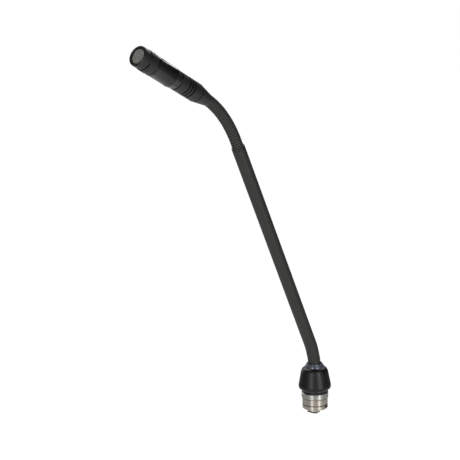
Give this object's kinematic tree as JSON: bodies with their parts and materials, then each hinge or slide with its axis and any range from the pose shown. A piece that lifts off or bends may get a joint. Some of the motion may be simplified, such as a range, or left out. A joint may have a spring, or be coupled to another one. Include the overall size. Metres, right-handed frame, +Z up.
{
  "type": "gooseneck microphone",
  "caption": "Slim capsule head on a bendable ribbed neck and a smooth sleeved tube, rising from a conical boot with a male three-pin connector shell.",
  "frame": {"origin": "centre of the connector shell's open rim, the end that enters the receptacle", "axes": "+Z up along the connector's axis, +X the way the neck leans at rest, +Y completes the right-handed frame"},
  "size_m": [0.1867, 0.0242, 0.2796],
  "materials": {
    "nickel": "satin nickel plate",
    "nickel_ring": "satin nickel plate",
    "chrome_plate": "polished",
    "boot_black": "semi-gloss",
    "seal_black": "matte",
    "insert_black": "matte",
    "contact_gold": "plated",
    "turned_brass": "turned",
    "board_green": "solder mask",
    "capacitor_blue": "gloss",
    "component_black": "matte",
    "link_steel": "matte black",
    "cable_jacket": "matte",
    "tube_steel": "drawn",
    "sleeve_black": "matte",
    "head_satin": "satin black",
    "head_gloss": "gloss black",
    "grille_mesh": "woven mesh",
    "screen_cloth": "woven",
    "can_aluminium": "drawn",
    "film": "metallised film",
    "insulator": "matte"
  },
  "bodies": {
    "base": {"connector_shell": "nickel", "shell_liner": "insert_black", "shell_screw": "nickel", "coupling_ring": "nickel_ring", "ring_gasket": "seal_black", "pin_insert": "insert_black", "contact_pin_1": "contact_gold", "contact_pin_2": "contact_gold", "contact_pin_3": "contact_gold", "preamp_board": "board_green", "board_capacitors": "capacitor_blue", "board_transistors": "component_black", "boot": "boot_black", "stem_bush": "turned_brass", "lock_nut": "turned_brass", "chrome_ring": "chrome_plate", "lower_cable": "cable_jacket"},
    "lower_link_1": {"lower_link_1": "link_steel"},
    "lower_link_2": {"lower_link_2": "link_steel"},
    "lower_link_3": {"lower_link_3": "link_steel"},
    "tube": {"lower_end_fitting": "turned_brass", "rigid_tube": "tube_steel", "outer_sleeve": "sleeve_black", "tube_collar": "sleeve_black", "upper_end_fitting": "turned_brass", "tube_cable": "cable_jacket", "upper_cable": "cable_jacket"},
    "upper_link_1": {"upper_link_1": "link_steel"},
    "upper_link_2": {"upper_link_2": "link_steel"},
    "upper_link_3": {"upper_link_3": "link_steel"},
    "upper_link_4": {"upper_link_4": "link_steel"},
    "upper_link_5": {"upper_link_5": "link_steel"},
    "upper_link_6": {"upper_link_6": "link_steel"},
    "upper_link_7": {"upper_link_7": "link_steel"},
    "head": {"neck_adaptor": "turned_brass", "rear_cone": "head_satin", "cone_seal": "seal_black", "vent_ring": "head_satin", "adaptor_nut": "turned_brass", "vent_screen": "screen_cloth", "barrel_seal": "seal_black", "barrel": "head_gloss", "flare_ring": "head_satin", "front_cap": "head_satin", "front_grille": "grille_mesh", "grille_cloth": "screen_cloth", "capsule_gasket": "seal_black", "capsule_can": "can_aluminium", "diaphragm_ring": "turned_brass", "diaphragm": "film", "spacer_ring": "insulator", "backplate": "turned_brass", "backplate_holder": "insert_black", "capsule_board": "board_green", "capsule_transistor": "component_black", "contact_disc": "insulator", "contact_stud": "contact_gold", "head_lead": "cable_jacket"}
  },
  "joints": [
    {"name": "lower_bend_1", "type": "hinge", "parent": "base", "child": "lower_link_1", "pos_m": [0, 0, 0.0362], "axis": [0, 1, 0], "range_deg": [-32, 7], "deforming": ["lower_cable"]},
    {"name": "lower_sway_1", "type": "hinge", "parent": "lower_link_1", "child": "lower_link_2", "pos_m": [0.00154, 0, 0.04179], "axis": [0.9641, 0, -0.2656], "range_deg": [-20, 20], "deforming": ["lower_cable"]},
    {"name": "lower_bend_2", "type": "hinge", "parent": "lower_link_2", "child": "lower_link_3", "pos_m": [0.00308, 0, 0.04738], "axis": [0, 1, 0], "range_deg": [-32, 7], "deforming": ["lower_cable"]},
    {"name": "lower_sway_2", "type": "hinge", "parent": "lower_link_3", "child": "tube", "pos_m": [0.00563, 0, 0.05259], "axis": [0.898, 0, -0.4399], "range_deg": [-20, 20], "deforming": ["lower_cable"]},
    {"name": "upper_sway_1", "type": "hinge", "parent": "tube", "child": "upper_link_1", "pos_m": [0.08231, 0, 0.20912], "axis": [0.898, 0, -0.4399], "range_deg": [-20, 20], "deforming": ["upper_cable"]},
    {"name": "upper_bend_1", "type": "hinge", "parent": "upper_link_1", "child": "upper_link_2", "pos_m": [0.08473, 0, 0.21406], "axis": [0, 1, 0], "range_deg": [-29, 11.5], "deforming": ["upper_cable"]},
    {"name": "upper_sway_2", "type": "hinge", "parent": "upper_link_2", "child": "upper_link_3", "pos_m": [0.08776, 0, 0.21865], "axis": [0.8348, 0, -0.5505], "range_deg": [-20, 20], "deforming": ["upper_cable"]},
    {"name": "upper_bend_2", "type": "hinge", "parent": "upper_link_3", "child": "upper_link_4", "pos_m": [0.09079, 0, 0.22324], "axis": [0, 1, 0], "range_deg": [-29, 11.5], "deforming": ["upper_cable"]},
    {"name": "upper_sway_3", "type": "hinge", "parent": "upper_link_4", "child": "upper_link_5", "pos_m": [0.09447, 0, 0.22733], "axis": [0.7431, 0, -0.6691], "range_deg": [-20, 20], "deforming": ["upper_cable"]},
    {"name": "upper_bend_3", "type": "hinge", "parent": "upper_link_5", "child": "upper_link_6", "pos_m": [0.09815, 0, 0.23142], "axis": [0, 1, 0], "range_deg": [-29, 11.5], "deforming": ["upper_cable"]},
    {"name": "upper_sway_4", "type": "hinge", "parent": "upper_link_6", "child": "upper_link_7", "pos_m": [0.10248, 0, 0.23481], "axis": [0.617, 0, -0.7869], "range_deg": [-20, 20], "deforming": ["upper_cable"]},
    {"name": "upper_bend_4", "type": "hinge", "parent": "upper_link_7", "child": "head", "pos_m": [0.10681, 0, 0.2382], "axis": [0, 1, 0], "range_deg": [-29, 11.5], "deforming": ["upper_cable"]}
  ],
  "couplings": [
    {"joint": "lower_bend_2", "follows": "lower_bend_1", "ratio": 1},
    {"joint": "lower_sway_2", "follows": "lower_sway_1", "ratio": 1},
    {"joint": "upper_sway_2", "follows": "upper_sway_1", "ratio": 1},
    {"joint": "upper_bend_2", "follows": "upper_bend_1", "ratio": 1},
    {"joint": "upper_sway_3", "follows": "upper_sway_1", "ratio": 1},
    {"joint": "upper_bend_3", "follows": "upper_bend_1", "ratio": 1},
    {"joint": "upper_sway_4", "follows": "upper_sway_1", "ratio": 1},
    {"joint": "upper_bend_4", "follows": "upper_bend_1", "ratio": 1}
  ]
}
